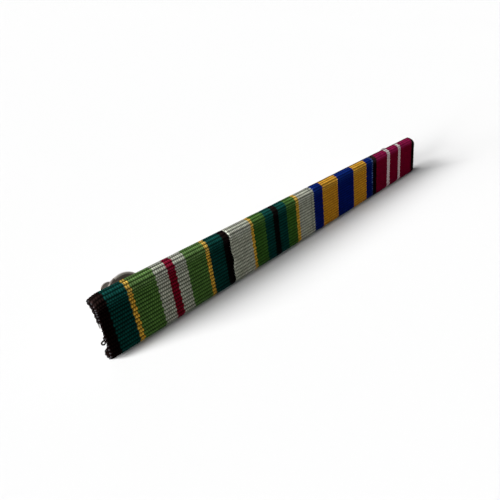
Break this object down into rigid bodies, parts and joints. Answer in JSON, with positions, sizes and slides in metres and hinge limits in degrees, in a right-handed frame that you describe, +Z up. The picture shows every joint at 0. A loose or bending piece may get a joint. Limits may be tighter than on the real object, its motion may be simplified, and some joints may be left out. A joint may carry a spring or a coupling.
{
  "type": "ribbon bar",
  "caption": "Long slim bar wrapped in striped ribbed medal ribbons side by side, with pins on its back held by butterfly clutches, leaning back as it stands on a surface.",
  "frame": {"origin": "on the surface that the bar stands on, under the middle of its box", "axes": "+X along the bar to its right end as the wearer's viewer sees it, -Y the side that the ribbons face, +Z up"},
  "size_m": [0.128, 0.0148, 0.0126],
  "materials": {
    "plate_metal": "dull nickel-plated sheet",
    "ribbon_1_cloth": "ribbed woven ribbon, light green, dark green, grey-white, yellow, red and black stripes",
    "ribbon_2_cloth": "ribbed woven ribbon, grey-white, yellow, light green, dark green and black stripes",
    "ribbon_3_cloth": "fine ribbed woven ribbon, blue and gold stripes",
    "ribbon_4_cloth": "smooth woven ribbon, maroon, white and black stripes",
    "clutch_nickel": "bright nickel plate",
    "spring_nickel": "satin nickel plate"
  },
  "bodies": {
    "bar": {"backing_bar": "plate_metal", "ribbon_1": "ribbon_1_cloth", "ribbon_2": "ribbon_2_cloth", "ribbon_3": "ribbon_3_cloth", "ribbon_4": "ribbon_4_cloth"},
    "clutch_left": {"clutch_cap_left": "clutch_nickel", "clutch_spring_left": "spring_nickel"},
    "clutch_right": {"clutch_cap_right": "clutch_nickel", "clutch_spring_right": "spring_nickel"}
  },
  "joints": [
    {"name": "clutch_left_slide", "type": "slide", "parent": "bar", "child": "clutch_left", "axis": [0, 0.9559, -0.2937], "range_m": [-0.0018, 0.006]},
    {"name": "clutch_right_slide", "type": "slide", "parent": "bar", "child": "clutch_right", "axis": [0, 0.9559, -0.2937], "range_m": [0, 0.0078]}
  ]
}
